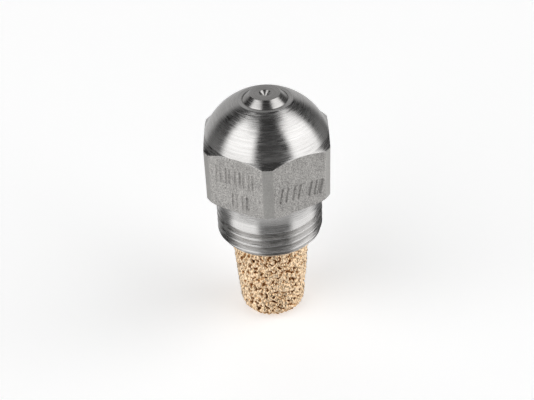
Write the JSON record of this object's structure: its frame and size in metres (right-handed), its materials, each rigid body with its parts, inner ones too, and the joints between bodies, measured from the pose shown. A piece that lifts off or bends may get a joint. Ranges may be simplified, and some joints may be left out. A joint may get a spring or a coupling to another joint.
{
  "type": "oil burner nozzle",
  "caption": "Hexagon-bodied oil burner nozzle with a domed face, a threaded shank and a sintered inlet filter.",
  "frame": {"origin": "centre of the closed end of the inlet filter, the lowest point of the nozzle", "axes": "+Z along the spray axis from the filter towards the orifice; two of the hexagon's flats face +X and -X, so a corner of the hexagon faces -Y"},
  "size_m": [0.0158, 0.0176, 0.0339],
  "materials": {
    "body_steel": "turned and ground stainless steel",
    "orifice_steel": "lapped stainless steel",
    "swirl_steel": "turned stainless steel",
    "screw_brass": "turned brass",
    "adapter_brass": "turned brass",
    "sintered_bronze": "sintered bronze granules, matt with bright grains"
  },
  "bodies": {
    "body": {"nozzle_body": "body_steel"},
    "disc": {"orifice_disc": "orifice_steel"},
    "distributor": {"swirl_distributor": "swirl_steel"},
    "screw": {"lock_screw": "screw_brass"},
    "filter": {"filter_adapter": "adapter_brass", "sintered_filter": "sintered_bronze"}
  },
  "joints": [
    {"name": "disc_removal", "type": "slide", "parent": "body", "child": "disc", "axis": [0, 0, -1], "range_m": [0, 0.024]},
    {"name": "distributor_removal", "type": "slide", "parent": "disc", "child": "distributor", "axis": [0, 0, -1], "range_m": [0, 0.0045]},
    {"name": "screw_removal", "type": "slide", "parent": "distributor", "child": "screw", "axis": [0, 0, -1], "range_m": [0, 0.0045]},
    {"name": "filter_removal", "type": "slide", "parent": "screw", "child": "filter", "axis": [0, 0, -1], "range_m": [0, 0.005]}
  ]
}
